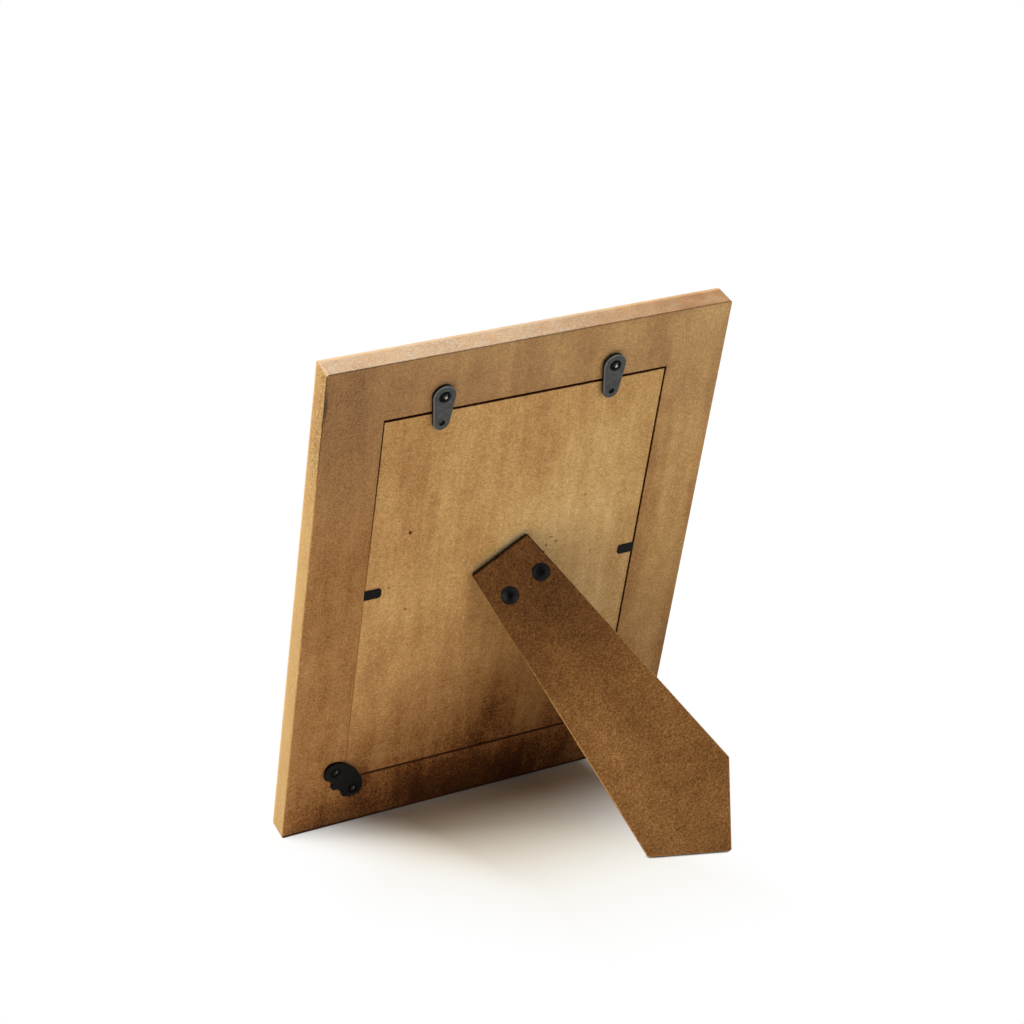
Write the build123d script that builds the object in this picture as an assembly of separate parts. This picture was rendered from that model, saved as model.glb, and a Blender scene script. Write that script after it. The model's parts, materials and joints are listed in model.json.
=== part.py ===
from build123d import *
from math import atan, atan2, cos, degrees, radians, sin, tan
import os

# Easel back photo frame: one routed board round a print, with a glass, a backing panel and a two-way leg.
# Every piece is drawn upright: x across, y out of the back (0 on the board's back face), z up the board
# (0 at its bottom edge). The whole frame is then leaned back on its leg. Lengths in mm, angles in degrees.

# Print and board
photo_width = 102.0
photo_height = 152.0
photo_thickness = 0.3
rabbet_allowance = 4.0
rail_width = 22.0
board_thickness = 12.0
front_round = 5.0
corner_round = 1.0
edge_break = 0.5
sight_lip = 6.0
sight_round = 2.0

# Glass and backing panel
glass_thickness = 2.0
glass_gap = 0.5
panel_thickness = 3.0
panel_recess = 0.3
panel_top_gap = 1.15
panel_edge_break = 0.15

# Stance and leg
lean_angle = 14.8
hinge_x = -0.6
hinge_rise = 6.9
leg_thickness = 3.2
leg_top_width = 23.6
leg_taper = 5.16
leg_corner_round = 0.8
leg_edge_break = 0.35
foot_side_inset = -1.1
stop_gap = 0.1

# Hinge
hinge_width = 20.0
hinge_shift = 1.0
barrel_radius = 1.5
barrel_gap = 0.1
pin_radius = 0.8
pin_head_radius = 1.2
pin_head_thickness = 0.5
middle_knuckle = 7.6
knuckle_gap = 0.2
notch_gap = 0.4
leaf_thickness = 0.8
leaf_length = 13.5
leaf_corner_cut = 2.0
rivet_radius = 1.4
rivet_head_radius = 2.3
rivet_head_height = 0.5
rivet_spacing = 11.0
rivet_drop = 8.0

# Flat-headed screws through the leg
leg_screw_spacing = 13.4
leg_screw_drop = 13.35
leg_screw_head_radius = 3.2
leg_screw_head_thickness = 0.9
leg_screw_edge_break = 0.2
leg_screw_radius = 1.5
leg_screw_past_leaf = 0.3
leg_socket_radius = 0.8
leg_socket_depth = 0.7

# Turn buttons
button_left_x = 32.4
button_right_x = 30.8
button_above_opening = 5.95
button_head_radius = 4.15
button_tail_radius = 2.95
button_reach = 10.2
button_thickness = 1.4
button_left_stand_off = 0.25
button_right_stand_off = 0.8
button_edge_break = 0.3
dimple_radius = 1.1
dimple_floor_share = 0.7
dimple_depth = 0.9

# Small screws of the buttons and the corner plates
small_head_radius = 2.1
small_screw_radius = 1.1
button_screw_length = 8.0
button_screw_sink = 0.45
plate_screw_length = 7.0
plate_screw_sink = 0.35
small_cross_length = 2.4
small_cross_width = 0.6
small_cross_depth = 0.8

# Corner plates
plate_half_length = 10.0
plate_half_width = 5.8
plate_thickness = 1.3
plate_turn = 52.0
plate_outward = 0.4
plate_upward = 0.6
plate_screw_reach = 6.1
plate_cut = 3.9
plate_cut_half_width = 5.0
plate_lobe_round = 0.8
nub_radius = 1.5
nub_reach = 5.3
nub_foot_round = 1.2

# Bendable side tabs
tab_width = 3.9
tab_thickness = 0.4
tab_overlap = 5.9
tab_root_length = 5.0
tab_root_depth = 2.0
tab_inner_bend = 0.1
tab_corner_round = 1.0
tab_left_height = 105.3
tab_right_height = 100.6

# Clearances, and the overrun of every cut
seat_gap = 0.02
running_gap = 0.05
screw_gap = 0.1
overrun = 1.0

# Sizes that follow from these
opening_width = photo_width + rabbet_allowance
opening_height = photo_height + rabbet_allowance
board_width = opening_width + 2 * rail_width
board_height = opening_height + 2 * rail_width
opening_top = rail_width + opening_height
opening_centre = rail_width + opening_height / 2
stack_depth = panel_thickness + photo_thickness + glass_thickness + 3 * seat_gap
rabbet_depth = panel_recess + stack_depth
panel_side_gap = tab_thickness + 2 * running_gap
panel_front = -panel_recess - panel_thickness
photo_front = panel_front - seat_gap - photo_thickness
glass_front = photo_front - seat_gap - glass_thickness

# The leg lies along the opening's diagonal. It opens until its foot, cut level with the frame's base when
# folded, is level with the floor again under the leaning frame.
lean = radians(lean_angle)
hinge_tilt = atan2(opening_width, opening_height)
leg_opening = 2 * atan(tan(lean) / cos(hinge_tilt))
pin_height = barrel_radius + barrel_gap
pin_depth = pin_height - panel_recess
pin_z = opening_centre + hinge_rise
leg_heel = (pin_height + pin_height * cos(leg_opening) - stop_gap) / sin(leg_opening)
along_pin = Vector(-cos(hinge_tilt), 0, sin(hinge_tilt))
down_leg = Vector(-sin(hinge_tilt), 0, -cos(hinge_tilt))
pin_point = Vector(hinge_x, pin_depth, pin_z)
hinge_plane = Plane(origin=pin_point, x_dir=along_pin, z_dir=(0, 1, 0))

# Height of the foot's cut above the board's base, folded, that puts the open foot on the floor
floor_lift = edge_break * (cos(lean) + sin(lean) - 1)
leg_face_rise = sin(leg_opening) * cos(hinge_tilt) * cos(lean) - cos(leg_opening) * sin(lean)
pin_lift = pin_z * cos(lean) - pin_depth * sin(lean)
foot_z = pin_z - (pin_lift + pin_height * leg_face_rise - floor_lift) / cos(lean)
leg_screw_length = leg_thickness + leaf_thickness + leg_screw_past_leaf

# Hardware on the two sides of the back: the left side, seen from behind, lies towards +x
sides = {"left": 1, "right": -1}
button_xs = {"left": button_left_x, "right": -button_right_x}
button_lows = {"left": button_left_stand_off, "right": button_right_stand_off}
button_z = opening_top + button_above_opening
button_screw_rise = button_thickness - button_screw_sink
plate_screw_top = seat_gap + plate_thickness - plate_screw_sink
tab_heights = {"left": tab_left_height, "right": tab_right_height}


def slab(outline, low, high):
    """A sketch in width and height, as a plate between two distances behind the back face."""
    return Pos(0, high, 0) * (Rot(90, 0, 0) * extrude(outline, amount=high - low, dir=(0, 0, 1)))


def window(width, height):
    """A rectangle of the given size, centred on the board's opening."""
    return Pos(0, opening_centre) * Rectangle(width, height)


def facing_back(x, y, z):
    """A working plane at a point, facing straight out of the back."""
    return Plane(origin=(x, y, z), x_dir=(1, 0, 0), z_dir=(0, 1, 0))


def pin_hole(radius, depth):
    """A round cutter along the working plane's normal, going down from just above it."""
    return Pos(0, 0, -depth) * extrude(Circle(radius), amount=depth + overrun)


def screw_profile(length, gap):
    """Half section of a small countersunk screw, grown by a gap, whose flat top lies at height 0."""
    head = small_head_radius + gap
    shank = small_screw_radius + gap
    tip = -length - gap
    return Polygon((0, 0), (head, 0), (shank, shank - head), (shank, tip), (0, tip), align=None)


def small_screw(length):
    """The countersunk screw of the turn buttons and corner plates, with a cross recess and its top at 0."""
    body = revolve(Plane.XZ * screw_profile(length, 0), axis=Axis.Z)
    bar = Rectangle(small_cross_length, small_cross_width)
    return body - extrude(bar + Rot(0, 0, 90) * bar, amount=-small_cross_depth)


def small_screw_hole(length, sink):
    """The seat of a small screw that is sunk below the face it enters."""
    cone = revolve(Plane.XZ * screw_profile(length, screw_gap), axis=Axis.Z)
    return cone + extrude(Circle(small_head_radius + screw_gap), amount=sink + overrun)


def plate_frame(side):
    """Working plane on the board's back near a lower corner of the opening, x along the plate's screws."""
    turn = radians(plate_turn)
    along = (side * cos(turn), 0, sin(turn))
    middle = (side * (opening_width / 2 + plate_outward), 0, rail_width + plate_upward)
    return Plane(origin=middle, x_dir=along, z_dir=(0, 1, 0))


def plate_screw_places(side):
    """The two screws of a corner plate: one in the stile, one in the bottom rail."""
    return [plate_frame(side) * Pos(way * plate_screw_reach, 0, plate_screw_top) for way in (1, -1)]


def frame_board():
    """The board: rounded front, stepped opening for glass, print and panel, and holes for its hardware."""
    middle = Pos(0, 0, board_height / 2)
    upright_bar = middle * rounded_bar(board_width, board_height)
    level_bar = middle * Rot(0, 90, 0) * rounded_bar(board_height, board_width)
    outline = RectangleRounded(board_width, board_height, corner_round)
    board = middle * slab(outline, -board_thickness, 0) & upright_bar & level_bar
    board -= slab(window(opening_width, opening_height), -rabbet_depth, overrun)
    sight = (opening_width - 2 * sight_lip, opening_height - 2 * sight_lip)
    board -= slab(window(*sight), -board_thickness - overrun, 0)
    front_edges = board.edges().group_by(Axis.Y)[0]
    board = fillet([e for e in front_edges if within_opening(e)], sight_round)
    for name, side in sides.items():
        screw_depth = button_screw_length + screw_gap - button_lows[name] - button_screw_rise
        screw_hole = pin_hole(small_screw_radius + screw_gap, screw_depth)
        board -= facing_back(button_xs[name], 0, button_z) * screw_hole
        for place in plate_screw_places(side):
            board -= place * pin_hole(small_screw_radius + screw_gap, plate_screw_length + screw_gap)
        board -= tab_slot(side, tab_heights[name])
    return board


def rounded_bar(width, length):
    """A bar of the board's depth along z, centred: large rounds at its front edges, small ones behind."""
    section = Pos(0, -board_thickness / 2) * Rectangle(width, board_thickness)
    section = fillet(section.vertices().group_by(Axis.Y)[0], front_round)
    section = fillet(section.vertices().group_by(Axis.Y)[-1], edge_break)
    return extrude(section, amount=length / 2, both=True)


def within_opening(edge):
    """Whether an edge lies inside the outline of the opening, seen from the front."""
    middle = edge.center()
    return abs(middle.X) < opening_width / 2 and abs(middle.Z - opening_centre) < opening_height / 2


def glass_pane():
    """The glass, resting against the lip of the sight opening."""
    outline = window(opening_width - 2 * glass_gap, opening_height - 2 * glass_gap)
    return slab(outline, glass_front, glass_front + glass_thickness)


def photo_insert():
    """The paper sheet behind the glass."""
    return slab(window(photo_width, photo_height), photo_front, photo_front + photo_thickness)


def backing_panel():
    """The loose back panel: it stands on the opening's bottom wall and carries the hinge."""
    height = opening_height - panel_top_gap - seat_gap
    outline = Rectangle(opening_width - 2 * panel_side_gap, height)
    panel = slab(Pos(0, rail_width + seat_gap + height / 2) * outline, panel_front, -panel_recess)
    panel = chamfer(panel.faces().sort_by(Axis.Y)[-1].edges(), panel_edge_break)
    for place in rivet_places():
        panel -= place * pin_hole(rivet_radius + running_gap, panel_thickness + overrun)
    return panel


def easel_leg():
    """The two-way leg, folded: tapered sides, and a foot cut level with the board's base and its side."""
    slope = tan(radians(leg_taper))
    half_top = leg_top_width / 2
    top_middle = pin_point - down_leg * leg_heel
    side_x = foot_side_inset - board_width / 2
    corners = []
    for way in (-1, 1):
        start = top_middle + along_pin * (way * half_top)
        run = down_leg + along_pin * (way * slope)
        reach = (start.Z - foot_z) / -run.Z if way < 0 else (start.X - side_x) / -run.X
        end = start + run * reach
        corners += [(start.X, start.Z), (end.X, end.Z)]
    outline = Polygon(corners[0], corners[1], (side_x, foot_z), corners[3], corners[2], align=None)
    outline = fillet(outline.vertices(), leg_corner_round)
    inner = pin_depth + pin_height
    leg = slab(outline, inner, inner + leg_thickness)
    leg = chamfer(leg.faces().sort_by(Axis.Y)[-1].edges(), leg_edge_break)
    for place in leg_screw_places():
        leg -= place * leg_screw_hole()
    return leg


def leg_screw_places():
    """The two screws through the leg, at its outer face."""
    down = leg_heel - leg_screw_drop
    top = pin_height + leg_thickness
    xs = [hinge_shift + way * leg_screw_spacing / 2 for way in (-1, 1)]
    return [hinge_plane * Pos(x, down, top) for x in xs]


def leg_screw_hole():
    """The hole through the leg and its hinge leaf, with a wide seat for the screw's head."""
    seat = pin_hole(leg_screw_head_radius + running_gap, leg_screw_head_thickness + seat_gap)
    return seat + pin_hole(leg_screw_radius + running_gap, leg_screw_length + overrun)


def leg_screw():
    """A flat-headed screw, flush with the leg's face, with a small hexagon socket."""
    head = extrude(Circle(leg_screw_head_radius), amount=-leg_screw_head_thickness)
    head = chamfer(head.faces().sort_by(Axis.Z)[-1].edges(), leg_screw_edge_break)
    shank = extrude(Circle(leg_screw_radius), amount=-leg_screw_length)
    socket = extrude(RegularPolygon(leg_socket_radius, 6), amount=-leg_socket_depth)
    return head + shank - socket


def rivet_places():
    """The two rivets through the panel, at the panel's face."""
    xs = [hinge_shift + way * rivet_spacing / 2 for way in (-1, 1)]
    return [hinge_plane * Pos(x, -rivet_drop, -pin_height) for x in xs]


def hinge_rivet():
    """A rivet through the hinge leaf and the panel, with a flat head and a flush tail."""
    neck = leaf_thickness + 2 * seat_gap
    shank = Pos(0, 0, -panel_thickness) * extrude(Circle(rivet_radius), amount=panel_thickness + neck)
    return shank + Pos(0, 0, neck) * extrude(Circle(rivet_head_radius), amount=rivet_head_height)


def knuckle_spans():
    """The hinge's three knuckles along the pin: the panel leaf has the outer two, the leg leaf the middle."""
    half = middle_knuckle / 2
    end = hinge_width / 2
    return {"panel": [(-end, -half - knuckle_gap), (half + knuckle_gap, end)], "leg": [(-half, half)]}


def hinge_leaf(own, other, low, high):
    """A leaf: a plate with its knuckles rolled round the pin and notches for the other leaf's."""
    plate = Pos(0, -leaf_length / 2) * Rectangle(hinge_width, leaf_length)
    plate = chamfer(plate.vertices().group_by(Axis.Y)[0], leaf_corner_cut)
    notch = barrel_radius + notch_gap
    for start, end in other:
        span = end - start + 2 * knuckle_gap
        plate -= Pos((start + end) / 2, 0) * Rectangle(span, 2 * notch)
    leaf = Pos(0, 0, low) * extrude(plate, amount=high - low)
    for start, end in own:
        leaf += extrude(Plane.YZ.offset(start) * Circle(barrel_radius), amount=end - start)
    bore = Plane.YZ.offset(-hinge_width) * Circle(pin_radius + running_gap)
    return leaf - extrude(bore, amount=2 * hinge_width)


def hinge_panel_leaf():
    """The leaf on the panel, with its rivet holes."""
    spans = knuckle_spans()
    low = -pin_height + seat_gap
    leaf = Pos(hinge_shift, 0, 0) * hinge_leaf(spans["panel"], spans["leg"], low, low + leaf_thickness)
    leaf = hinge_plane * leaf
    for place in rivet_places():
        leaf -= place * pin_hole(rivet_radius + running_gap, 0)
    return leaf


def hinge_leg_leaf():
    """The leaf on the leg, folded, with its screw holes."""
    spans = knuckle_spans()
    high = pin_height - seat_gap
    leaf = Pos(hinge_shift, 0, 0) * hinge_leaf(spans["leg"], spans["panel"], high - leaf_thickness, high)
    leaf = hinge_plane * leaf
    for place in leg_screw_places():
        leaf -= place * leg_screw_hole()
    return leaf


def hinge_pin():
    """The pin, with a small head at each end of the barrel."""
    end = hinge_width / 2 + seat_gap
    pin = extrude(Plane.YZ.offset(-end) * Circle(pin_radius), amount=2 * end)
    head = extrude(Plane.YZ.offset(end) * Circle(pin_head_radius), amount=pin_head_thickness)
    pin += head + mirror(head, about=Plane.YZ)
    return hinge_plane * (Pos(hinge_shift, 0, 0) * pin)


def turn_button(x, low):
    """A teardrop turn button: countersunk for its screw, with a small dimple near its tail."""
    head = Circle(button_head_radius)
    tail = Pos(0, -button_reach) * Circle(button_tail_radius)
    button = extrude(make_hull((head + tail).edges()), amount=button_thickness)
    button = chamfer(button.faces().sort_by(Axis.Z)[-1].edges(), button_edge_break)
    seat = small_screw_hole(button_screw_length, button_screw_sink)
    button -= Pos(0, 0, button_screw_rise) * seat
    sunk = (Align.CENTER, Align.CENTER, Align.MAX)
    dimple = Cone(dimple_floor_share * dimple_radius, dimple_radius, dimple_depth, align=sunk)
    button -= Pos(0, -button_reach, button_thickness) * dimple
    return upright_place(x, low, button_z) * button


def upright_place(x, y, z):
    """Place of a piece drawn flat, facing up: its face turns to the back, its top end points up the board."""
    return Pos(x, y, z) * Rot(-90, 0, 0) * Rot(0, 0, 180)


def corner_plate(side):
    """An oval plate over the panel's lower corner, with a shallow cut on the outside round a small nub."""
    half = plate_cut_half_width
    wide = half + plate_half_width - plate_cut
    outline = Ellipse(plate_half_length, plate_half_width)
    outline -= Polygon(
        (-half, plate_cut), (half, plate_cut), (wide, plate_half_width), (-wide, plate_half_width), align=None
    )
    outline += Pos(0, nub_reach - nub_radius) * Circle(nub_radius)
    plate = Pos(0, 0, seat_gap) * extrude(outline, amount=plate_thickness)
    for picked, rounding in ((slice(-2, None), plate_lobe_round), (slice(0, 2), nub_foot_round)):
        corners = plate.edges().filter_by(Axis.Z).filter_by_position(Axis.Y, plate_cut / 2, nub_reach)
        from_nub = sorted(corners, key=lambda edge: abs(edge.center().X))
        plate = fillet(from_nub[picked], rounding)
    if side < 0:
        plate = mirror(plate, about=Plane.XZ)
    plate = plate_frame(side) * plate
    for place in plate_screw_places(side):
        plate -= place * small_screw_hole(plate_screw_length, plate_screw_sink)
    return plate


def tab_slot(side, height):
    """The slit in the opening's wall that holds a side tab's root."""
    wall = opening_width / 2
    reach = tab_root_length + overrun
    thick = tab_thickness + 2 * running_gap
    slit = Box(reach + running_gap, thick, tab_width + 2 * running_gap)
    middle = wall - overrun + (reach + running_gap) / 2
    return Pos(side * middle, -tab_root_depth, height) * slit


def side_tab(side, height):
    """A soft metal strip: its root sits in the wall, rises beside the panel and folds over it."""
    wall = opening_width / 2
    lift = tab_thickness / 2
    gap_middle = wall - panel_side_gap / 2
    over = -panel_recess + running_gap + lift
    route = [
        (wall + tab_root_length, -tab_root_depth),
        (gap_middle, -tab_root_depth),
        (gap_middle, over),
        (wall - panel_side_gap - tab_overlap, over),
    ]
    line = FilletPolyline(*route, radius=tab_inner_bend + lift)
    strip = Pos(0, 0, -tab_width / 2) * extrude(trace(line, tab_thickness), amount=tab_width)
    ends = strip.edges().filter_by(Axis.Y).group_by(Axis.X)[0]
    strip = Pos(0, 0, height) * fillet(ends, tab_corner_round)
    return strip if side > 0 else mirror(strip, about=Plane.YZ)


# Pieces of the frame, upright
upright = {
    "frame_board": frame_board(),
    "glass_pane": glass_pane(),
    "photo_insert": photo_insert(),
    "backing_panel": backing_panel(),
    "hinge_panel_leaf": hinge_panel_leaf(),
    "hinge_pin": hinge_pin(),
    "hinge_rivets": Compound([place * hinge_rivet() for place in rivet_places()]),
}
for name, side in sides.items():
    x = button_xs[name]
    low = button_lows[name]
    screw_place = facing_back(x, low + button_screw_rise, button_z)
    upright[f"turn_button_{name}"] = turn_button(x, low)
    upright[f"turn_button_screw_{name}"] = screw_place * small_screw(button_screw_length)
    upright[f"side_tab_{name}"] = side_tab(side, tab_heights[name])
    upright[f"corner_plate_{name}"] = corner_plate(side)
    for spot, place in zip(("stile", "rail"), plate_screw_places(side)):
        upright[f"corner_plate_{name}_{spot}_screw"] = place * small_screw(plate_screw_length)

# Pieces of the leg, folded, then swung open about the pin
leg = {"easel_leg": easel_leg(), "hinge_leg_leaf": hinge_leg_leaf()}
for name, place in zip(("left", "right"), leg_screw_places()):
    leg[f"leg_screw_{name}"] = place * leg_screw()
pin_axis = Axis(pin_point, along_pin)
for name, piece in leg.items():
    upright[name] = piece.rotate(pin_axis, -degrees(leg_opening))

# Lean everything back, then set the origin on the floor under the middle of the whole
leaned = {name: piece.rotate(Axis.X, -lean_angle) for name, piece in upright.items()}
box = Compound([leaned["frame_board"], leaned["easel_leg"]]).bounding_box()
shift = Pos(-(box.min.X + box.max.X) / 2, -(box.min.Y + box.max.Y) / 2, -box.min.Z)
placed = {name: shift * piece for name, piece in leaned.items()}

os.makedirs("parts", exist_ok=True)
for name, piece in placed.items():
    piece.label = name
    export_step(piece, f"parts/{name}.step")

# Where the joints are, for the record
for name, point, direction in [
    ("leg hinge", pin_point, along_pin),
    ("left turn button", Vector(button_xs["left"], 0, button_z), Vector(0, 1, 0)),
    ("right turn button", Vector(button_xs["right"], 0, button_z), Vector(0, 1, 0)),
]:
    at = shift * Vertex(*point).rotate(Axis.X, -lean_angle)
    way = direction.rotate(Axis.X, -lean_angle)
    print(name, [round(v, 4) for v in at.center()], [round(v, 6) for v in way])
print("leg opening", round(degrees(leg_opening), 4), "foot cut", round(foot_z, 4), "heel", round(leg_heel, 4))
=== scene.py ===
import json

import bpy
from mathutils import Matrix, Vector

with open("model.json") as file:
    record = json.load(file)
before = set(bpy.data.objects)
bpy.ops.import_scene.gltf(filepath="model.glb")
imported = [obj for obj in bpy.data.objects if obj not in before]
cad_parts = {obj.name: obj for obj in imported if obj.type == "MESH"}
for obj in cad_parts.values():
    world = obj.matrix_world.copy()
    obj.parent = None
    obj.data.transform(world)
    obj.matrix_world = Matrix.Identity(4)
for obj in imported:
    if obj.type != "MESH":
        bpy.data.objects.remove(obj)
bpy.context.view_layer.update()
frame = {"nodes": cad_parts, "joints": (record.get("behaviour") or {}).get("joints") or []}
nodes = frame["nodes"]
joints = {joint["name"]: joint for joint in frame["joints"]}
mm = 0.001


def in_mm(*lengths):
    """Lengths given in mm, as metres."""
    return [length * mm for length in lengths]


def srgb(red, green, blue):
    """A colour given as display values from 0 to 255, as a linear colour."""
    shares = [value / 255 for value in (red, green, blue)]
    linear = [s / 12.92 if s <= 0.04045 else ((s + 0.055) / 1.055) ** 2.4 for s in shares]
    return (*linear, 1.0)


# Camera: its place from the board's origin in metres, the direction behind it, and its lens in mm
camera_from_board = Vector((0.4026, 0.7851, 0.4983))
camera_back = Vector((0.4325, 0.8073, 0.4015))
camera_lens = 96.3
camera_sensor = 36.0

# Light: each soft box's place and size in metres, and its power in watts
sky_level = 0.11
light_aim = Vector((0.0, 0.0, 0.09))
soft_boxes = {
    "key_light": (Vector((0.62, -0.36, 1.15)), 0.8, 26.0),
    "side_light": (Vector((1.10, -0.35, 0.75)), 0.8, 6.2),
    "fill_light": (Vector((-0.5, 1.65, 0.65)), 1.0, 5.9),
}

# Floor: plain in front of the board, and behind it a warm tint that is painted bounce light from the brown
# board; a painted cream glow where it turns white near the board
floor_half = 4.0
floor_plain = (0.70, 0.70, 0.70, 1.0)
floor_warm_bounce = (0.70, 0.60, 0.45, 1.0)
floor_cream_glow = (0.84, 0.78, 0.64, 1.0)
pure_white = (1.0, 1.0, 1.0, 1.0)
bounce_behind = in_mm(-6, 6)
bounce_share = 0.9
floor_grain_scale = 40.0
floor_grain_share = 0.1

# The floor turns white between two distances from the board's base, in mm, and its painted cream glow is gone
# at the second distance times the third number
white_behind = (7, 84, 1.6)
white_slanted = (25, 64, 1.6)
white_right = (44, 68, 1.0)
white_left = (60, 80, 1.0)
white_front = (10, 70, 0.2)
slant = (0.723, 0.690, 0.0)

# The floor keeps its own colour close under what stands on it, by the share of open sky within this reach
contact_reach = 4 * mm
contact_samples = 8
contact_sky = (0.15, 0.45)

# The middle value of a noise
noise_middle = 0.5


class Graph:
    """The node tree of a material or world, with short calls for the nodes that are used here."""

    def __init__(self, owner):
        owner.use_nodes = True
        self.owner = owner
        self.tree = owner.node_tree
        self.tree.nodes.clear()

    def add(self, kind, inputs, **settings):
        """A node whose inputs are linked, or set where they are plain values."""
        made = self.tree.nodes.new(kind)
        for key, value in settings.items():
            setattr(made, key, value)
        for key, value in inputs.items():
            if isinstance(value, bpy.types.NodeSocket):
                self.tree.links.new(value, made.inputs[key])
            else:
                made.inputs[key].default_value = value
        return made

    def math(self, operation, first, second=0.0):
        return self.add("ShaderNodeMath", {0: first, 1: second}, operation=operation).outputs[0]

    def chain(self, operation, values):
        """Values joined one after another by the same operation."""
        result = values[0]
        for value in values[1:]:
            result = self.math(operation, result, value)
        return result

    def total(self, *values):
        return self.chain("ADD", values)

    def product(self, *values):
        return self.chain("MULTIPLY", values)

    def less(self, first, second):
        return self.math("SUBTRACT", first, second)

    def size(self, value):
        return self.math("ABSOLUTE", value)

    def centred(self, value, strength):
        """A noise value moved to lie about zero, at the given strength."""
        return self.product(self.less(value, noise_middle), strength)

    def smooth(self, value, start, end, low=0.0, high=1.0):
        """A soft step from low to high while the value goes from start to end."""
        inputs = {"Value": value, "From Min": start, "From Max": end, "To Min": low, "To Max": high}
        return self.add("ShaderNodeMapRange", inputs, interpolation_type="SMOOTHSTEP").outputs[0]

    def band(self, value, start, full, fall, end):
        """A share that rises from start to full and falls from fall to end."""
        return self.product(self.smooth(value, start, full), self.smooth(value, fall, end, 1.0, 0.0))

    def vector_math(self, operation, inputs, output="Vector"):
        return self.add("ShaderNodeVectorMath", inputs, operation=operation).outputs[output]

    def dot(self, vector, axis):
        return self.vector_math("DOT_PRODUCT", {0: vector, 1: axis}, "Value")

    def parts(self, vector):
        made = self.add("ShaderNodeSeparateXYZ", {"Vector": vector})
        return [made.outputs[axis] for axis in "XYZ"]

    def mapping(self, kind, inputs):
        return self.add("ShaderNodeMapping", inputs, vector_type=kind).outputs[0]

    def object_point(self):
        return self.add("ShaderNodeTexCoord", {}).outputs["Object"]

    def object_normal(self):
        return self.add("ShaderNodeTexCoord", {}).outputs["Normal"]

    def placed(self, rotation, location):
        """The object's points in a frame of its own, such as the board's or the leg's."""
        inputs = {"Vector": self.object_point(), "Rotation": rotation, "Location": location}
        return self.mapping("POINT", inputs)

    def noise(self, where, scale, detail=2.0, roughness=0.5, distortion=0.0, output=0):
        inputs = {
            "Vector": where,
            "Scale": scale,
            "Detail": detail,
            "Roughness": roughness,
            "Distortion": distortion,
        }
        return self.add("ShaderNodeTexNoise", inputs).outputs[output]

    def grained(self, where, grain, detail=2.0, roughness=0.5):
        """A noise with a scale of its own along each axis."""
        stretched = self.mapping("POINT", {"Vector": where, "Scale": grain})
        return self.noise(stretched, 1.0, detail, roughness)

    def spot(self, where, centre, half, strength):
        """A soft patch that is strongest at its centre and gone at its half sizes."""
        inside = self.mapping("TEXTURE", {"Vector": where, "Location": centre, "Scale": half})
        away = self.vector_math("LENGTH", {0: inside}, "Value")
        return self.smooth(away, 0.0, 1.0, strength, 0.0)

    def warped(self, where, scale, amount):
        """Points pushed about by a soft noise, so that what is placed by them has uneven edges."""
        push = self.noise(where, scale, output="Color")
        about_zero = self.vector_math("SUBTRACT", {0: push, 1: [noise_middle] * 3})
        short = self.vector_math("SCALE", {0: about_zero, "Scale": amount})
        return self.vector_math("ADD", {0: where, 1: short})

    def ramp(self, value, stops):
        """A colour by value, from stops given as place and colour."""
        made = self.add("ShaderNodeValToRGB", {"Fac": value})
        elements = made.color_ramp.elements
        elements[0].position, elements[0].color = stops[0]
        elements[1].position, elements[1].color = stops[-1]
        for position, colour in stops[1:-1]:
            elements.new(position).color = colour
        return made.outputs["Color"]

    def covered(self, colour, films):
        """A colour under films, each given as share and tone."""
        for share, tone in films:
            # Inputs 6 and 7 and output 2 of a mix node are its colours
            colour = self.add("ShaderNodeMix", {0: share, 6: colour, 7: tone}, data_type="RGBA").outputs[2]
        return colour

    def bump(self, height, strength, distance):
        inputs = {"Height": height, "Strength": strength, "Distance": distance}
        return self.add("ShaderNodeBump", inputs).outputs[0]

    def seen(self):
        """A share that is 1 for rays that show a surface: camera, mirror and glass rays."""
        path = self.add("ShaderNodeLightPath", {}).outputs
        rays = [path["Is Camera Ray"], path["Is Glossy Ray"], path["Is Transmission Ray"]]
        return self.chain("MAXIMUM", rays)

    def finish(self, inputs):
        """Ends the tree in one principled shader and gives the material."""
        shader = self.add("ShaderNodeBsdfPrincipled", inputs).outputs[0]
        self.add("ShaderNodeOutputMaterial", {"Surface": shader})
        return self.owner


def reach(node, direction):
    """The least and greatest reach of a node along a direction."""
    values = [vertex.co.dot(direction) for vertex in nodes[node].data.vertices]
    return min(values), max(values)


# The board's own frame: x across, y out of the back from the back face, z up from the base
board_out = Vector(joints["turn_button_left_turn"]["axis"]).normalized()
board_across = Vector((1.0, 0.0, 0.0))
board_up = board_across.cross(board_out)
board_turn = Matrix((board_across, board_out, board_up))
board_shift = (0.0, -reach("frame_board", board_out)[1], -reach("frame_board", board_up)[0])
board_frame = (board_turn.to_euler(), board_shift)
board_origin = board_turn.transposed() @ -Vector(board_shift)
board_out_axis = 1

# The leg's own frame: x along the hinge pin, y up the leg, z out of its face, all from the hinge
leg_across = Vector(joints["leg_hinge"]["axis"]).normalized()
leg_face = max(nodes["easel_leg"].data.polygons, key=lambda polygon: polygon.area)
leg_out = leg_face.normal if leg_face.normal.y > 0 else -leg_face.normal
leg_turn = Matrix((leg_across, leg_out.cross(leg_across), leg_out))
leg_shift = -(leg_turn @ Vector(joints["leg_hinge"]["pos_m"]))
leg_frame = (leg_turn.to_euler(), leg_shift)
leg_out_axis = 2
leg_foot, leg_top = [end + leg_shift[1] for end in reach("easel_leg", leg_turn[1])]


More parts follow.
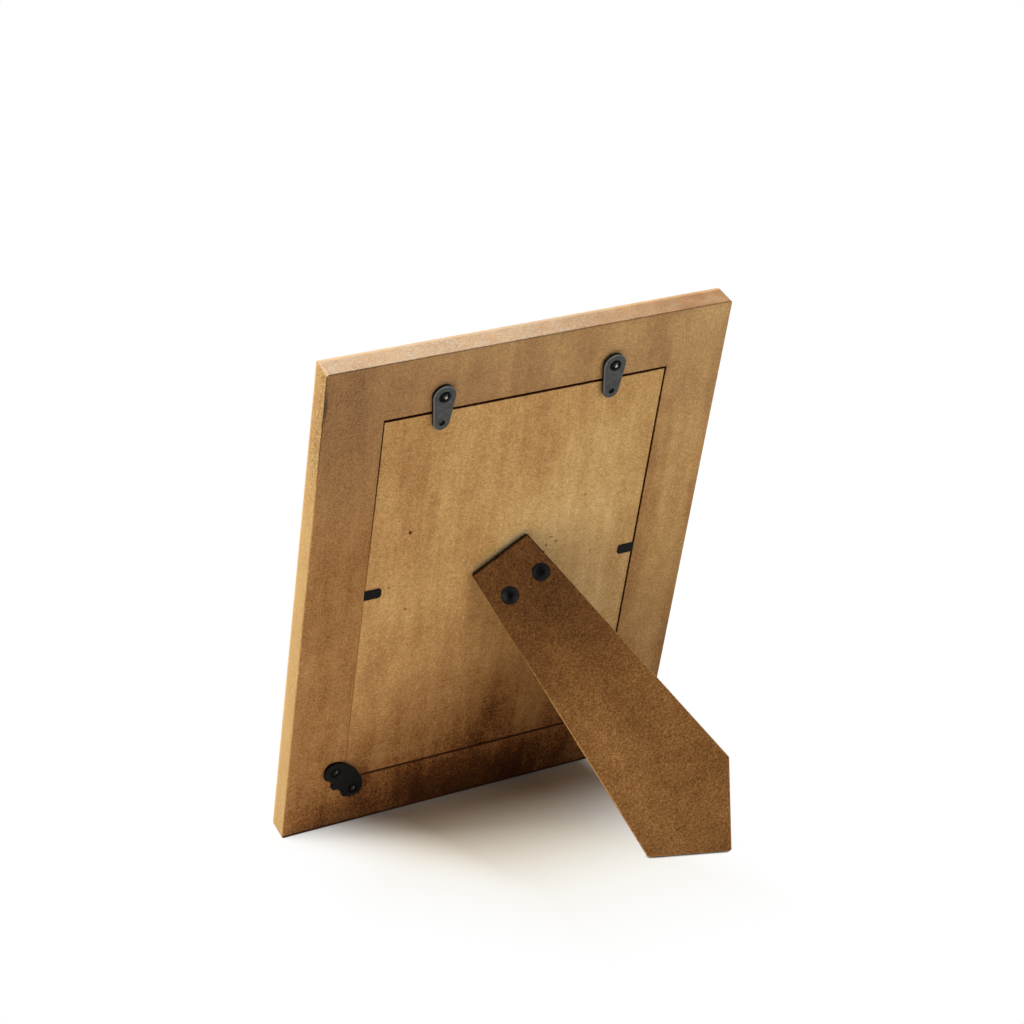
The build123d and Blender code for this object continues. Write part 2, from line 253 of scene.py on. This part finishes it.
# Fibre board: grains and scales per metre, and strengths as depth of the coat
board_grain = (70.0, 70.0, 22.0)
leg_grain = (60.0, 26.0, 60.0)
streak_strength = 0.5
mottle_scale = 150.0
mottle_strength = 0.26
brush_up_grain = (1300.0, 1300.0, 70.0)
brush_up_strength = 0.11
brush_across_grain = (70.0, 1300.0, 1300.0)
brush_across_strength = 0.08
wiped_grain = (190.0, 190.0, 24.0)
wiped_strength = 0.36
fibre_scale = 1650.0
fibre_twist = 1.6
fibre_range = (0.34, 0.66)
front_fibre = 0.35
board_rough = 0.6
mottle_rough = 0.14
fibre_rough = 0.12
board_shine = 0.1
mottle_relief = 0.5
board_relief = 0.2
board_relief_depth = 0.1 * mm

# Stain tones by depth of the coat, where worn spots and painted light go below zero
thinnest_coat = -0.3
thickest_coat = 1.0
board_tones = [
    (thinnest_coat, srgb(255, 226, 170)),
    (0.0, srgb(232, 192, 131)),
    (0.2, srgb(208, 163, 108)),
    (0.4, srgb(186, 141, 92)),
    (0.55, srgb(168, 123, 76)),
    (0.7, srgb(150, 102, 56)),
    (0.85, srgb(108, 64, 32)),
    (thickest_coat, srgb(66, 35, 16)),
]
leg_tones = [
    (thinnest_coat, srgb(228, 182, 122)),
    (0.0, srgb(190, 140, 82)),
    (0.3, srgb(150, 103, 57)),
    (0.5, srgb(128, 86, 46)),
    (0.7, srgb(104, 66, 35)),
    (thickest_coat, srgb(44, 25, 12)),
]
# A pale tone: painted sheen on the board's top face, and a faint film high on its back
pale_film_and_sheen_tone = srgb(190, 171, 146)
side_tone = srgb(183, 154, 98)
# A nearly black tone, painted shade on the leg's top end
leg_end_shade_tone = srgb(12, 8, 6)

# Patches of stain and of painted light and shade, where the darkening towards the bottom of the board and
# panel and beside the leg is painted shade and some pale patches are painted light: x, z, half width, half
# height in the board's frame in mm, and depth
board_stain_and_shade_patches = [
    (66, 188, 24, 30, 0.16),
    (30, 198, 26, 11, -0.08),
    (-67, 199, 20, 14, -0.2),
    (-18, 194, 84, 34, -0.20),
    (20, 190, 7, 18, 0.10),
    (2, 188, 9, 20, 0.14),
    (-20, 190, 6, 16, 0.08),
    (-47, 190, 11, 20, 0.22),
    (-53, 182, 6, 20, 0.18),
    (-66, 105, 26, 125, -0.35),
    (-44, 188, 50, 30, -0.16),
    (-68, 168, 22, 50, -0.14),
    (-8, 2, 84, 44, 0.36),
    (0, 8, 58, 28, 0.21),
    (36, 8, 28, 26, 0.18),
    (-42, 8, 34, 28, 0.10),
    (70, 4, 40, 44, 0.22),
    (57, 7, 14, 14, 0.07),
    (-36, 8, 18, 16, -0.1),
]
panel_stain_and_shade_patches = [
    (42, 158, 16, 36, 0.16),
    (20, 162, 8, 26, -0.10),
    (-10, 148, 12, 44, 0.15),
    (-34, 164, 9, 20, 0.05),
    (-28, 125, 50, 74, -0.26),
    (-30, 138, 26, 22, 0.12),
    (20, 112, 12, 34, -0.08),
    (-15, 13, 104, 66, 0.72),
    (16, 70, 46, 36, 0.19),
    (46, 22, 42, 62, 0.26),
    (32, 25, 26, 18, -0.17),
    (-20, 30, 22, 20, -0.17),
    (-40, 74, 18, 38, -0.12),
    (-4, 36, 11, 34, 0.14),
]

# Specks, pits and smudges, given as the patches are
board_specks = [(-68.7, 161.2, 0.6, 0.7, 0.5), (74.4, 187, 1.0, 9, 0.5)]
panel_specks = [
    (38, 128.6, 0.9, 1.1, 1.5),
    (36.3, 95.3, 0.8, 0.8, 0.6),
    (43.5, 106.4, 0.7, 0.8, 0.5),
    (-29, 129, 0.8, 0.8, 0.6),
    (-35, 103, 0.8, 0.8, 0.5),
    (-18, 113.1, 1.3, 0.6, 1.0),
    (-16.5, 110, 0.6, 1.2, 0.9),
    (-20.4, 110.8, 0.8, 0.8, 0.9),
    (-16, 107.5, 0.8, 0.6, 0.8),
    (12.8, 85.5, 0.5, 2.6, -0.22),
    (-44, 173, 1.4, 0.5, -0.2),
]
# The same on the leg, whose places are along the pin and up the leg
leg_specks = [
    (-6.0, -112.8, 1.3, 0.35, 0.5),
    (-8.0, -112.3, 1.2, 0.4, 0.5),
    (-11.9, -113.6, 0.6, 0.5, 0.4),
]

# How far noise pushes the edges of patches and specks, in mm. The noise is finer for a smaller push
patch_push = 14
speck_push = 0.8
push_grain = 840.0
# Half size of each spot through a piece, in metres, which is far more than the piece is thick
right_through = 1.0

# Ranges of facing, which is 1 on a back face, 0 on a side and -1 on a front face
front_to_side = (-0.8, -0.2)
side_to_back = (0.3, 0.8)
full_back = (0.7, 0.95)
side_facing = (0.2, 0.9)
low_shade_facing = (0.2, 0.5)
back_edge_facing = (0.2, 0.5, 0.85, 0.97)
front_edge_facing = (-0.9, -0.6, -0.2, -0.05)
panel_cut_facing = (0.6, 0.95)
leg_end_facing = (0.35, 0.6)
button_side_facing = (0.3, 0.6)
button_bevel_facing = (0.6, 0.68, 0.75, 0.9)
# The same for faces that point up the board
up_facing = (0.5, 0.95)

# The opening's walls: their places from its middle, and the zone about them in which a side face is a wall
wall_side = 53 * mm
wall_end = 78 * mm
opening_middle = 100 * mm
wall_outside = in_mm(0.6, 2)
wall_inside = in_mm(-4, -2)

# The gap round the panel is dark, partly a darker stain and partly painted shade, with painted light low on
# the left and at the brim on the right that thins its dark line
gap_left = in_mm(40, 50)
gap_left_heights = in_mm(95, 168)
gap_left_light = 1.4
gap_right = in_mm(-50, -45)
gap_brim = in_mm(-0.7, -0.3)
gap_brim_light = 0.75

# The board's edges and sides
# Painted shade lines: in the gap under the panel, and along the board's base where it meets the floor
rail_shade_ends = in_mm(0, 0.6)
rail_shade_heights = in_mm(21.2, 21.7, 22.1, 22.3)
base_shade_heights = in_mm(0.5, 1.6)
low_shade_depth = 0.5
back_edge_heights = in_mm(145, 178)
back_edge_depths = (-0.16, 0.42)
front_edge_depth = -0.25
side_heights = in_mm(130, 190)
side_depths = (0.08, 0.18)
upright_side_depth = 0.14

# A pale film on the board's top face, which is painted sheen, a faint paler film high on its back, and a
# golden tone on its sides
top_heights = in_mm(186, 194)
top_sheen_places = in_mm(-70, 10)
top_sheen_shares = (0.08, 0.58)
top_sheen_grit = 1.8
back_film_heights = in_mm(110, 185)
back_film_share = 0.17
gold_shares = (0.6, 0.38)
gold_grit = 3.0

# A painted pale line on the panel just past the leg's heel, painted light that offsets the shade the leg
# casts there: its half width, and distances past the leg's top end
heel_light_half = in_mm(10, 12.5)
heel_light_span = in_mm(-1.5, 0, 0.5, 3.5)
heel_light_depth = -0.3

# The leg's coat. Values named from and to are shares of the way from the hinge down to the foot
leg_edge_from = 0.4
leg_edge_depths = (-0.4, 0.2)
leg_dark_from = 0.55
leg_dark_depths = (-0.09, 0.24)
leg_pale_to = 0.75
leg_pale_depth = -0.08
# Painted shade along the sole: heights above the floor, and its depth
sole_shade_heights = in_mm(0.3, 1.1)
sole_shade_depth = 0.8
# The painted shade on the leg's top end, as distances past that end
leg_end_shade_reach = in_mm(-3, -1)


def marks(graph, where, spots, out_axis):
    """The depths of soft spots, added up, where each spot reaches right through along one axis."""
    depths = []
    for across, up, half_width, half_height, depth in spots:
        centre = in_mm(across, up)
        half = in_mm(half_width, half_height)
        centre.insert(out_axis, 0.0)
        half.insert(out_axis, right_through)
        depths.append(graph.spot(where, centre, half, depth))
    return graph.total(*depths)


def stain(graph, where, patches, push, out_axis=board_out_axis):
    """The depth of the coat that comes from listed patches with uneven edges, of stain and of painted light
    and shade.
    """
    loose = graph.warped(where, push_grain / push, push * mm)
    return marks(graph, loose, patches, out_axis)


def fibre_board(name, place, out, tones, coat, grain, speckle, extra_depth, films=None):
    """Fibre board under a wiped stain: streaks, mottling, brush marks and fine fibre, calmer on the front."""
    graph = Graph(bpy.data.materials.new(name))
    where = graph.placed(*place)
    facing = graph.dot(graph.object_normal(), out)
    streaks = graph.grained(where, grain, detail=3.0, roughness=0.55)
    mottle = graph.noise(where, mottle_scale, detail=4.0, roughness=0.6)
    brushed_up = graph.grained(where, brush_up_grain)
    brushed_across = graph.grained(where, brush_across_grain)
    worms = graph.noise(where, fibre_scale, detail=1.0, distortion=fibre_twist)
    fibre = graph.smooth(worms, *fibre_range)
    rough_side = graph.smooth(facing, *front_to_side, front_fibre, 1.0)
    depth = graph.total(
        graph.centred(streaks, streak_strength),
        graph.product(graph.centred(mottle, mottle_strength), rough_side),
        graph.centred(brushed_up, brush_up_strength),
        graph.centred(brushed_across, brush_across_strength),
        graph.product(graph.centred(fibre, speckle), rough_side),
        coat,
        *extra_depth(graph, where, facing),
    )
    spread = thickest_coat - thinnest_coat
    thickness = graph.math("DIVIDE", graph.less(depth, thinnest_coat), spread)
    colour = graph.ramp(thickness, [((step - thinnest_coat) / spread, tone) for step, tone in tones])
    if films:
        grit = graph.product(graph.total(mottle, fibre), 0.5)
        colour = graph.covered(colour, films(graph, where, facing, grit))
    uneven = graph.total(graph.centred(mottle, mottle_rough), graph.centred(fibre, fibre_rough))
    relief = graph.total(fibre, graph.product(mottle, mottle_relief))
    return graph.finish({
        "Base Color": colour,
        "Roughness": graph.total(uneven, board_rough),
        "Normal": graph.bump(relief, board_relief, board_relief_depth),
        "Specular IOR Level": board_shine,
    })


def past_walls(graph, where):
    """How far points lie past the opening's side walls, and past its end walls."""
    across, _, up = graph.parts(where)
    past_side = graph.less(graph.size(across), wall_side)
    past_end = graph.less(graph.size(graph.less(up, opening_middle)), wall_end)
    return past_side, past_end


def opening_wall(graph, where, facing):
    """A share that is 1 on the walls that the panel fits between."""
    past = past_walls(graph, where)
    within = graph.product(*[graph.smooth(value, *wall_outside, 1.0, 0.0) for value in past])
    beside = graph.chain("MAXIMUM", [graph.smooth(value, *wall_inside) for value in past])
    upright = graph.smooth(graph.size(facing), *side_to_back, 1.0, 0.0)
    return graph.product(within, beside, upright)


def gap_stain_and_shade(graph, where):
    """The depth in the gap round the panel: dark, partly a darker stain and partly painted shade, and lighter
    where painted light thins the line.
    """
    across, out, up = graph.parts(where)
    on_left = graph.smooth(across, *gap_left)
    lightened = graph.product(on_left, graph.smooth(up, *gap_left_heights, gap_left_light, 0.0))
    on_right = graph.smooth(across, *gap_right, 1.0, 0.0)
    brim = graph.product(on_right, graph.smooth(out, *gap_brim, 0.0, gap_brim_light))
    return graph.less(1.0, graph.total(lightened, brim))


def outer_side(graph, where, facing):
    """A share that is 1 on the board's outer sides."""
    side = graph.smooth(graph.size(facing), *side_facing, 1.0, 0.0)
    return graph.product(side, graph.less(1.0, opening_wall(graph, where, facing)))


def faces_up(graph):
    """A share that is 1 on faces that point up the board."""
    return graph.smooth(graph.dot(graph.object_normal(), board_up), *up_facing)


def upright_side(graph, where, facing):
    """A share that is 1 on the board's outer sides, apart from the top."""
    return graph.product(outer_side(graph, where, facing), graph.less(1.0, faces_up(graph)))


def wiped(graph, where):
    """Fine upright streaks from wiping the stain."""
    return graph.centred(graph.grained(where, wiped_grain, detail=3.0, roughness=0.6), wiped_strength)


def board_depth(graph, where, facing):
    """Patches of stain and painted shade, dark walls that are partly painted shade, painted shade lines under
    the panel and along the base, a back edge that is dark above and worn below, and a worn front edge.
    """
    _, _, up = graph.parts(where)
    past_side, _ = past_walls(graph, where)
    patches = stain(graph, where, board_stain_and_shade_patches, patch_push)
    specks = stain(graph, where, board_specks, speck_push)
    under_panel = graph.smooth(past_side, *rail_shade_ends, 1.0, 0.0)
    rail_shade = graph.product(under_panel, graph.band(up, *rail_shade_heights), low_shade_depth)
    base_shade = graph.smooth(up, *base_shade_heights, low_shade_depth, 0.0)
    low_shades = graph.total(rail_shade, base_shade)
    side_depth = graph.smooth(up, *side_heights, *side_depths)
    back_edge_depth = graph.smooth(up, *back_edge_heights, *back_edge_depths)
    return [
        wiped(graph, where),
        graph.product(graph.total(patches, specks), graph.smooth(facing, *side_to_back)),
        graph.product(opening_wall(graph, where, facing), gap_stain_and_shade(graph, where)),
        graph.product(low_shades, graph.smooth(facing, *low_shade_facing)),
        graph.product(outer_side(graph, where, facing), side_depth),
        graph.product(upright_side(graph, where, facing), upright_side_depth),
        graph.product(graph.band(facing, *back_edge_facing), back_edge_depth),
        graph.product(graph.band(facing, *front_edge_facing), front_edge_depth),
    ]


def board_films(graph, where, facing, grit):
    """A pale film of painted sheen on the board's top face, a faint paler film high on its back, and a golden
    tone on its sides.
    """
    across, _, up = graph.parts(where)
    above = graph.product(faces_up(graph), graph.smooth(up, *top_heights))
    top_sheen = graph.smooth(across, *top_sheen_places, *top_sheen_shares)
    on_top = graph.product(above, graph.total(top_sheen, graph.centred(grit, top_sheen_grit)))
    back_film = graph.smooth(up, *back_film_heights, 0.0, back_film_share)
    on_back = graph.product(back_film, graph.smooth(facing, *full_back))
    gold = graph.total(graph.smooth(up, *side_heights, *gold_shares), graph.centred(grit, gold_grit))
    golden = graph.product(upright_side(graph, where, facing), gold)
    return [(graph.math("MAXIMUM", on_top, on_back), pale_film_and_sheen_tone), (golden, side_tone)]


def panel_depth(graph, where, facing):
    """Patches of stain and painted shade, specks, dark cut edges that are partly painted shade, and a painted
    pale line past the leg's heel that offsets its shade.
    """
    cut = graph.smooth(facing, *panel_cut_facing, 1.0, 0.0)
    along_pin, up_leg, _ = graph.parts(graph.placed(*leg_frame))
    under_heel = graph.smooth(graph.size(along_pin), *heel_light_half, 1.0, 0.0)
    heel_light = graph.band(graph.less(up_leg, leg_top), *heel_light_span)
    return [
        wiped(graph, where),
        stain(graph, where, panel_stain_and_shade_patches, patch_push),
        stain(graph, where, panel_specks, speck_push),
        graph.product(cut, gap_stain_and_shade(graph, where)),
        graph.product(under_heel, heel_light, heel_light_depth),
    ]


def leg_depth(graph, where, facing):
    """A thicker coat towards the top, a paler foot, worn lower edges and painted shade along the sole."""
    _, along, _ = graph.parts(where)
    _, _, height = graph.parts(graph.object_point())
    edge_depth = graph.smooth(along, leg_edge_from * leg_foot, leg_top, *leg_edge_depths)
    return [
        graph.smooth(along, leg_dark_from * leg_foot, leg_top, *leg_dark_depths),
        graph.smooth(along, leg_foot, leg_pale_to * leg_foot, leg_pale_depth, 0.0),
        graph.smooth(height, *sole_shade_heights, sole_shade_depth, 0.0),
        stain(graph, where, leg_specks, speck_push, leg_out_axis),
        graph.product(graph.band(facing, *back_edge_facing), edge_depth),
    ]


def leg_end_shade_film(graph, where, facing, _grit):
    """Painted shade, nearly black, on the leg's top end."""
    _, along, _ = graph.parts(where)
    at_top = graph.smooth(graph.less(along, leg_top), *leg_end_shade_reach)
    return [(graph.product(at_top, graph.smooth(facing, *leg_end_facing, 1.0, 0.0)), leg_end_shade_tone)]


# Coated metal: grains and scales per metre
cloud_scale = 420.0
cloud_shade = 0.9
cloud_rough = 0.2
scuff_grain = (900.0, 2600.0, 900.0)
scuff_shade = 0.9
scuff_rough = 0.25
scuff_relief = 0.12
scuff_relief_depth = 0.03 * mm
middle_shade = 0.45

# Painted shade on the buttons' sides and a painted highlight on their bevels
button_side_shade_share = 0.85
button_side_shade_tone = srgb(10, 10, 11)
button_bevel_highlight_share = 0.3
button_bevel_highlight_tone = srgb(170, 176, 180)

# Painted glints in a screw's cross, pale spots that stand in for a lamp's reflection: across and up from its
# middle, half width and half height, in mm
glint_spots = [(-0.85, -0.3, 0.4, 1.1), (-0.45, -0.85, 0.8, 0.45)]
button_screw_glint = 1.6
plate_screw_glint = 0.24
glint_tone = srgb(252, 248, 240)

# Heads of the leg's screws, with a dark middle and pale spots of painted sheen on the rim: places along the
# pin and up the leg from the middle, half sizes, all in mm, and shade, which is multiplied by the screw's
# sheen in the sheen spots
leg_head_dark = (0.0, 0.0, 2.6, 2.6, -0.6)
leg_head_sheen_spots = [(-1.9, 0.9, 2.2, 2.2, 1.0), (0.9, -2.4, 2.0, 1.4, 0.6)]
leg_screw_sheen = {"leg_screw_left": 0.75, "leg_screw_right": 0.2}
leg_head_shade = -0.15


def middle_of(name, turn, shift):
    """The middle of a node in a frame of its own, in mm."""
    points = [vertex.co for vertex in nodes[name].data.vertices]
    return (turn @ (sum(points, Vector()) / len(points)) + Vector(shift)) / mm


def painted_cross_glint(graph):
    """Painted glints, pale spots that stand in for a lamp's reflection in the cross of each screw, below its
    middle on the right.
    """
    spots = []
    for name in nodes:
        if "screw" in name and name not in leg_screw_sheen:
            middle = middle_of(name, board_turn, board_shift)
            highlight = button_screw_glint if "button" in name else plate_screw_glint
            for across, up, half_width, half_height in glint_spots:
                spots.append((middle.x + across, middle.z + up, half_width, half_height, highlight))
    return [(marks(graph, graph.placed(*board_frame), spots, board_out_axis), glint_tone)]


def leg_head_dark_and_sheen(graph):
    """A dark middle and pale spots of painted sheen on the rim of the heads of the leg's screws, where one
    has more sheen.
    """
    spots = []
    for name, highlight in leg_screw_sheen.items():
        middle = middle_of(name, leg_turn, leg_shift)
        # These spots are painted highlights, scaled by each screw's share of sheen
        scuffs = [(*sheen_spot[:4], sheen_spot[4] * highlight) for sheen_spot in leg_head_sheen_spots]
        for across, up, half_width, half_height, shade in (leg_head_dark, *scuffs):
            spots.append((middle.x + across, middle.y + up, half_width, half_height, shade))
    return graph.total(marks(graph, graph.placed(*leg_frame), spots, leg_out_axis), leg_head_shade)


def button_shade_and_highlight(graph):
    """Painted shade, nearly black, on the turn buttons' sides, and a painted highlight on their bevels."""
    facing = graph.dot(graph.object_normal(), board_out)
    side = graph.smooth(facing, *button_side_facing, button_side_shade_share, 0.0)
    bevel_highlight = graph.product(graph.band(facing, *button_bevel_facing), button_bevel_highlight_share)
    return [(side, button_side_shade_tone), (bevel_highlight, button_bevel_highlight_tone)]


def coated_metal(name, dark, light, metallic, rough, shine, head=None, films=None):
    """Coated or plated metal, with soft clouding and fine scuffs."""
    graph = Graph(bpy.data.materials.new(name))
    where = graph.object_point()
    cloud = graph.noise(where, cloud_scale, detail=3.0)
    scuffs = graph.grained(where, scuff_grain, detail=3.0, roughness=0.7)
    shade = graph.total(graph.centred(cloud, cloud_shade), graph.centred(scuffs, scuff_shade), middle_shade)
    if head:
        shade = graph.total(shade, head(graph))
    colour = graph.ramp(shade, [(0.0, dark), (1.0, light)])
    if films:
        colour = graph.covered(colour, films(graph))
    uneven = graph.total(graph.centred(cloud, cloud_rough), graph.centred(scuffs, scuff_rough))
    return graph.finish({
        "Base Color": colour,
        "Roughness": graph.total(uneven, rough),
        "Metallic": metallic,
        "Specular IOR Level": shine,
        "Normal": graph.bump(scuffs, scuff_relief, scuff_relief_depth),
    })


# Glass: the haze is a faint roughness
glass_tone = srgb(252, 254, 253)
glass_index = 1.5
haze_scale = 60.0
haze_range = (0.3, 0.8)
haze_rough = 0.03

# Card
card_tones = [(0.0, srgb(224, 220, 210)), (1.0, srgb(240, 237, 229))]
card_fibre_scale = 900.0
card_cloud_scale = 45.0
card_contrast = 0.5
card_middle_shade = 0.5
card_rough = 0.8
card_relief = 0.1
card_relief_depth = 0.05 * mm


def clear_glass(name):
    """Picture glass, with a faint unevenness in its polish."""
    graph = Graph(bpy.data.materials.new(name))
    haze = graph.noise(graph.object_point(), haze_scale)
    return graph.finish({
        "Base Color": glass_tone,
        "Roughness": graph.smooth(haze, *haze_range, 0.0, haze_rough),
        "Transmission Weight": 1.0,
        "IOR": glass_index,
    })


def card_paper(name):
    """Plain off-white card with a faint fibre."""
    graph = Graph(bpy.data.materials.new(name))
    where = graph.object_point()
    fibre = graph.noise(where, card_fibre_scale, detail=3.0)
    cloud = graph.noise(where, card_cloud_scale)
    uneven = graph.total(graph.centred(fibre, card_contrast), graph.centred(cloud, card_contrast))
    return graph.finish({
        "Base Color": graph.ramp(graph.total(uneven, card_middle_shade), card_tones),
        "Roughness": card_rough,
        "Normal": graph.bump(fibre, card_relief, card_relief_depth),
    })


finishes = {
    "stained_board": fibre_board(
        "stained_board_finish",
        board_frame,
        board_out,
        board_tones,
        coat=0.48,
        grain=board_grain,
        speckle=0.32,
        extra_depth=board_depth,
        films=board_films,
    ),
    "panel_board": fibre_board(
        "panel_board_finish",
        board_frame,
        board_out,
        board_tones,
        coat=0.16,
        grain=board_grain,
        speckle=0.34,
        extra_depth=panel_depth,
    ),
    "leg_board": fibre_board(
        "leg_board_finish",
        leg_frame,
        leg_out,
        leg_tones,
        coat=0.38,
        grain=leg_grain,
        speckle=0.5,
        extra_depth=leg_depth,
        films=leg_end_shade_film,
    ),
    "grey_steel": coated_metal(
        "grey_steel_finish",
        dark=srgb(48, 50, 51),
        light=srgb(96, 99, 99),
        metallic=0.4,
        rough=0.4,
        shine=0.25,
        films=button_shade_and_highlight,
    ),
    "black_metal": coated_metal(
        "black_metal_finish",
        dark=srgb(4, 4, 5),
        light=srgb(19, 20, 22),
        metallic=0.0,
        rough=0.32,
        shine=0.08,
    ),
    "black_screw": coated_metal(
        "black_screw_finish",
        dark=srgb(2, 2, 3),
        light=srgb(8, 8, 9),
        metallic=0.0,
        rough=0.3,
        shine=0.06,
        films=painted_cross_glint,
    ),
    "leg_screw": coated_metal(
        "leg_screw_finish",
        dark=srgb(2, 2, 3),
        light=srgb(62, 63, 66),
        metallic=0.0,
        rough=0.3,
        shine=0.06,
        head=leg_head_dark_and_sheen,
    ),
    "hinge_steel": coated_metal(
        "hinge_steel_finish",
        dark=srgb(120, 122, 124),
        light=srgb(188, 190, 192),
        metallic=1.0,
        rough=0.4,
        shine=0.5,
    ),
    "clear_glass": clear_glass("clear_glass_finish"),
    "insert_paper": card_paper("insert_paper_finish"),
}


def dress():
    """Gives each node the finish that its packed material names, and each screw the finish of its kind."""
    for name, node in nodes.items():
        finish = node.data.materials[0].name
        if "screw" in name:
            finish = "leg_screw" if name in leg_screw_sheen else "black_screw"
        node.data.materials[0] = finishes[finish]


def make_floor():
    """A plain pale floor with a painted warm bounce behind the board and a painted cream glow near it, that
    turns to pure white away from the object, and keeps the object's shadow.
    """
    mesh = bpy.data.meshes.new("floor")
    corners = [(x * floor_half, y * floor_half, 0.0) for x, y in ((-1, -1), (1, -1), (1, 1), (-1, 1))]
    mesh.from_pydata(corners, [], [(0, 1, 2, 3)])
    floor = bpy.data.objects.new("floor", mesh)
    bpy.context.scene.collection.objects.link(floor)
    graph = Graph(bpy.data.materials.new("floor_sheet"))
    where = graph.placed((0.0, 0.0, 0.0), -board_origin)
    across, behind, _ = graph.parts(where)
    grain = graph.product(graph.noise(where, floor_grain_scale), floor_grain_share)
    bounce = graph.total(graph.smooth(behind, *bounce_behind, 0.0, bounce_share), grain)
    near = graph.ramp(bounce, [(0.0, floor_plain), (1.0, floor_warm_bounce)])
    whitened = [
        (behind, white_behind),
        (graph.dot(where, slant), white_slanted),
        (graph.product(across, -1.0), white_right),
        (across, white_left),
        (graph.product(behind, -1.0), white_front),
    ]
    clear = 0.0
    pure = 0.0
    for away, (start, end, cream) in whitened:
        clear = graph.math("MAXIMUM", clear, graph.smooth(away, start * mm, end * mm))
        pure = graph.math("MAXIMUM", pure, graph.smooth(away, 0.0, cream * end * mm))
    sky = graph.add("ShaderNodeAmbientOcclusion", {"Distance": contact_reach}, samples=contact_samples)
    clear = graph.product(clear, graph.smooth(sky.outputs["AO"], *contact_sky))
    sheet = graph.add("ShaderNodeBsdfDiffuse", {"Color": near}).outputs[0]
    pale = graph.ramp(pure, [(0.0, floor_cream_glow), (1.0, pure_white)])
    white = graph.add("ShaderNodeEmission", {"Color": pale, "Strength": 1.0}).outputs[0]
    shown = graph.product(clear, graph.seen())
    both = graph.add("ShaderNodeMixShader", {0: shown, 1: sheet, 2: white}).outputs[0]
    graph.add("ShaderNodeOutputMaterial", {"Surface": both})
    mesh.materials.append(graph.owner)


def make_world():
    """A white surround: white where it is seen, and a softer level where it lights."""
    world = bpy.data.worlds.new("surround")
    bpy.context.scene.world = world
    graph = Graph(world)
    lit = graph.add("ShaderNodeBackground", {"Color": pure_white, "Strength": sky_level}).outputs[0]
    shown = graph.add("ShaderNodeBackground", {"Color": pure_white, "Strength": 1.0}).outputs[0]
    both = graph.add("ShaderNodeMixShader", {0: graph.seen(), 1: lit, 2: shown}).outputs[0]
    graph.add("ShaderNodeOutputWorld", {"Surface": both})


def make_lights():
    """Square soft boxes aimed at the object."""
    for name, (place, size, power) in soft_boxes.items():
        lamp = bpy.data.lights.new(name, "AREA")
        lamp.shape = "SQUARE"
        lamp.size = size
        lamp.energy = power
        made = bpy.data.objects.new(name, lamp)
        made.location = place
        made.rotation_euler = (light_aim - place).to_track_quat("-Z", "Y").to_euler()
        bpy.context.scene.collection.objects.link(made)


def make_camera():
    """The camera, at the photograph's viewing angle."""
    lens = bpy.data.cameras.new("camera")
    lens.lens = camera_lens
    lens.sensor_width = camera_sensor
    made = bpy.data.objects.new("camera", lens)
    made.location = board_origin + camera_from_board
    made.rotation_euler = (-camera_back).to_track_quat("-Z", "Y").to_euler()
    bpy.context.scene.collection.objects.link(made)
    bpy.context.scene.camera = made


dress()
make_floor()
make_world()
make_lights()
make_camera()
bpy.context.scene.view_settings.view_transform = "Standard"
